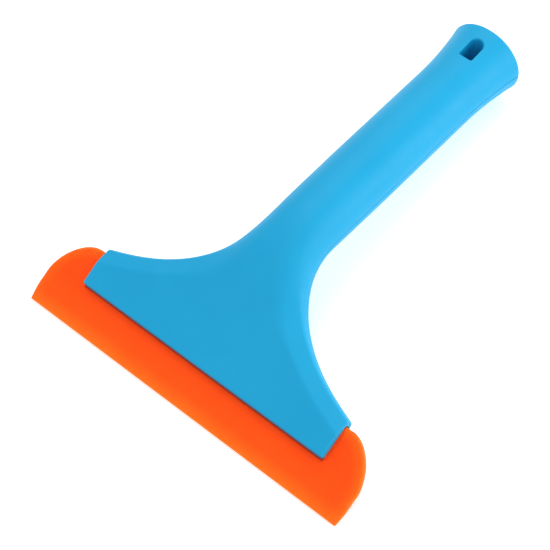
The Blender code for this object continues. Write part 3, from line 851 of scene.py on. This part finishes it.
def orange_silicone():
    """Satin silicone: painted glow at the scraping edge and round the ends, painted shade at the foot of
    the jaws.
    """
    made, nodes, links, shader = new_material("orange_silicone")
    plan = nodes.new("ShaderNodeTexCoord").outputs["UV"]
    scaled = nodes.new("ShaderNodeMapping")
    scaled.inputs["Scale"].default_value = (2 * BLADE_HALF, BLADE_TOP_S, 1.0)
    links.new(plan, scaled.inputs["Vector"])
    metres = scaled.outputs["Vector"]
    split = nodes.new("ShaderNodeSeparateXYZ")
    links.new(plan, split.inputs["Vector"])
    across, up = split.outputs["X"], split.outputs["Y"]
    # painted light: the colour runs from the scraping edge up
    painted_light = ramp(nodes, links, up, ORANGE_PAINTED_LIGHT)
    rim_place = nodes.new("ShaderNodeUVMap")
    rim_place.uv_map = "rim"
    rim_split = nodes.new("ShaderNodeSeparateXYZ")
    links.new(rim_place.outputs["UV"], rim_split.inputs["Vector"])
    # painted glow: golden towards the blade's thin ends
    painted_glow_share = [(0.0, grey(0.85)), (0.45, grey(0.45)), (1.0, grey(0.0))]
    near_rim = ramp(nodes, links, rim_split.outputs["X"], painted_glow_share)
    with_painted_glow = mix(nodes, links, near_rim, painted_light, GOLDEN_PAINTED_GLOW)
    # painted shade: dark just below the jaws' lip
    with_painted_shade = mix(nodes, links, painted_shade_share(nodes, links, across, up), with_painted_glow, ORANGE_PAINTED_SHADE)
    clouds = noise(nodes, links, metres, 45.0, 3.0, 0.5)
    mottle = ramp(nodes, links, clouds, [(0.3, ORANGE_MOTTLE), (0.7, grey(1.0))])
    links.new(mix(nodes, links, 1.0, with_painted_shade, mottle, "MULTIPLY"), shader.inputs["Base Color"])
    patches = noise(nodes, links, metres, 140.0, 3.0, 0.6)
    gloss = ramp(nodes, links, patches, [(0.3, grey(0.46)), (0.7, grey(0.56))])
    links.new(gloss, shader.inputs["Roughness"])
    grain = noise(nodes, links, metres, 1500.0, 3.0, 0.6)
    bump(nodes, links, shader, [(grain, 0.10, 0.00005)])
    shader.inputs["Subsurface Weight"].default_value = 0.6
    shader.inputs["Subsurface Radius"].default_value = (1.0, 0.2, 0.05)
    shader.inputs["Subsurface Scale"].default_value = 0.006
    # painted glow: a faint red-orange emission, which lifts the blade's red also where it lies in shade
    shader.inputs["Emission Color"].default_value = (1.0, 0.05, 0.0, 1.0)
    shader.inputs["Emission Strength"].default_value = 0.18
    shader.inputs["Specular IOR Level"].default_value = 0.12
    return made


def zinc_steel():
    made, nodes, links, shader = new_material("zinc_plated_steel")
    coords = nodes.new("ShaderNodeTexCoord").outputs["Object"]
    clouds = noise(nodes, links, coords, 900.0, 3.0, 0.6)
    tint = ramp(nodes, links, clouds, [(0.3, ZINC_COOL), (0.7, ZINC_WARM)])
    links.new(tint, shader.inputs["Base Color"])
    gloss = ramp(nodes, links, clouds, [(0.3, grey(0.28)), (0.7, grey(0.42))])
    links.new(gloss, shader.inputs["Roughness"])
    grain = noise(nodes, links, coords, 4000.0, 2.0, 0.6)
    bump(nodes, links, shader, [(grain, 0.15, 0.00003)])
    shader.inputs["Metallic"].default_value = 1.0
    return made


def floor_material():
    made, nodes, links, shader = new_material("pale_floor")
    coords = nodes.new("ShaderNodeTexCoord").outputs["Object"]
    clouds = noise(nodes, links, coords, 3.0, 3.0, 0.5)
    tint = ramp(nodes, links, clouds, [(0.3, grey(0.90)), (0.7, grey(0.92))])
    links.new(tint, shader.inputs["Base Color"])
    shader.inputs["Roughness"].default_value = 0.9
    shader.inputs["Emission Color"].default_value = (1.0, 1.0, 1.0, 1.0)
    shader.inputs["Emission Strength"].default_value = FLOOR_GLOW
    return made


# ---- stage ----


def fit_point(across, along, back):
    """World point from the head's own axes: across the blade, up the head's plane, behind it."""
    up, run = math.sin(HEAD_SLOPE), math.cos(HEAD_SLOPE)
    start_z = EDGE_HALF_THICK * run
    return Vector((across, along * run + back * up - MID_Y, start_z + along * up - back * run))


def make_camera():
    aim = fit_point(CAMERA_AIM_X, CAMERA_AIM_S, 0.0)
    flat = CAMERA_DISTANCE * math.cos(CAMERA_TILT)
    eye = fit_point(
        CAMERA_AIM_X + flat * math.sin(CAMERA_TURN),
        CAMERA_AIM_S + CAMERA_DISTANCE * math.sin(CAMERA_TILT),
        -flat * math.cos(CAMERA_TURN),
    )
    forward = (aim - eye).normalized()
    head_up = fit_point(0, 1, 0) - fit_point(0, 0, 0)
    right = forward.cross(head_up).normalized()
    up = right.cross(forward)
    rolled_right = math.cos(CAMERA_ROLL) * right + math.sin(CAMERA_ROLL) * up
    rolled_up = -math.sin(CAMERA_ROLL) * right + math.cos(CAMERA_ROLL) * up
    data = bpy.data.cameras.new("camera")
    data.sensor_width = SENSOR
    data.lens = FOCAL
    data.clip_start, data.clip_end = CLIP
    made = bpy.data.objects.new("camera", data)
    bpy.context.scene.collection.objects.link(made)
    rotation = Matrix((rolled_right, rolled_up, -forward)).transposed()
    made.matrix_world = Matrix.Translation(eye) @ rotation.to_4x4()
    bpy.context.scene.camera = made


def area_light(name, place_at, size, power):
    data = bpy.data.lights.new(name, "AREA")
    data.shape = "DISK"
    data.size = size
    data.energy = power
    made = bpy.data.objects.new(name, data)
    bpy.context.scene.collection.objects.link(made)
    made.location = place_at
    made.rotation_mode = "QUATERNION"
    made.rotation_quaternion = (Vector(LIGHTS_AIM) - Vector(place_at)).to_track_quat("-Z", "Y")


def make_stage():
    mesh = bmesh.new()
    bmesh.ops.create_grid(mesh, x_segments=1, y_segments=1, size=FLOOR_HALF)
    data = bpy.data.meshes.new("floor")
    mesh.to_mesh(data)
    mesh.free()
    floor = bpy.data.objects.new("floor", data)
    floor.location = (0.0, 0.0, CAD_BOX[0].z - FLOOR_GAP)
    data.materials.append(floor_material())
    bpy.context.scene.collection.objects.link(floor)
    for light in LIGHTS:
        area_light(*light)
    world = bpy.data.worlds.new("studio")
    world.use_nodes = True
    background = world.node_tree.nodes["Background"]
    background.inputs["Color"].default_value = (1.0, 1.0, 1.0, 1.0)
    background.inputs["Strength"].default_value = WORLD_STRENGTH
    scene = bpy.context.scene
    scene.world = world
    scene.view_settings.view_transform = "Standard"
    scene.view_settings.look = "None"


def dress(piece, material):
    """Gives a visual piece its only material."""
    piece.data.materials.clear()
    piece.data.materials.append(material)


make_camera()
make_stage()
plastic, silicone, steel = blue_plastic(), orange_silicone(), zinc_steel()

front = front_shell()
dress(front, plastic)
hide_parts("front_shell")
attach(front, "handle")

rear = rear_shell()
dress(rear, plastic)
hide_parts("rear_shell")
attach(rear, "handle")

blade = blade_piece()
dress(blade, silicone)
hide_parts("blade_root", "blade_lip")
place(0, 0.0162, 0)
place(0, 0.0070, 0)
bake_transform(blade)

for name, *_ in SCREWS:
    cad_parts[name].data.materials.clear()
    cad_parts[name].data.materials.append(steel)
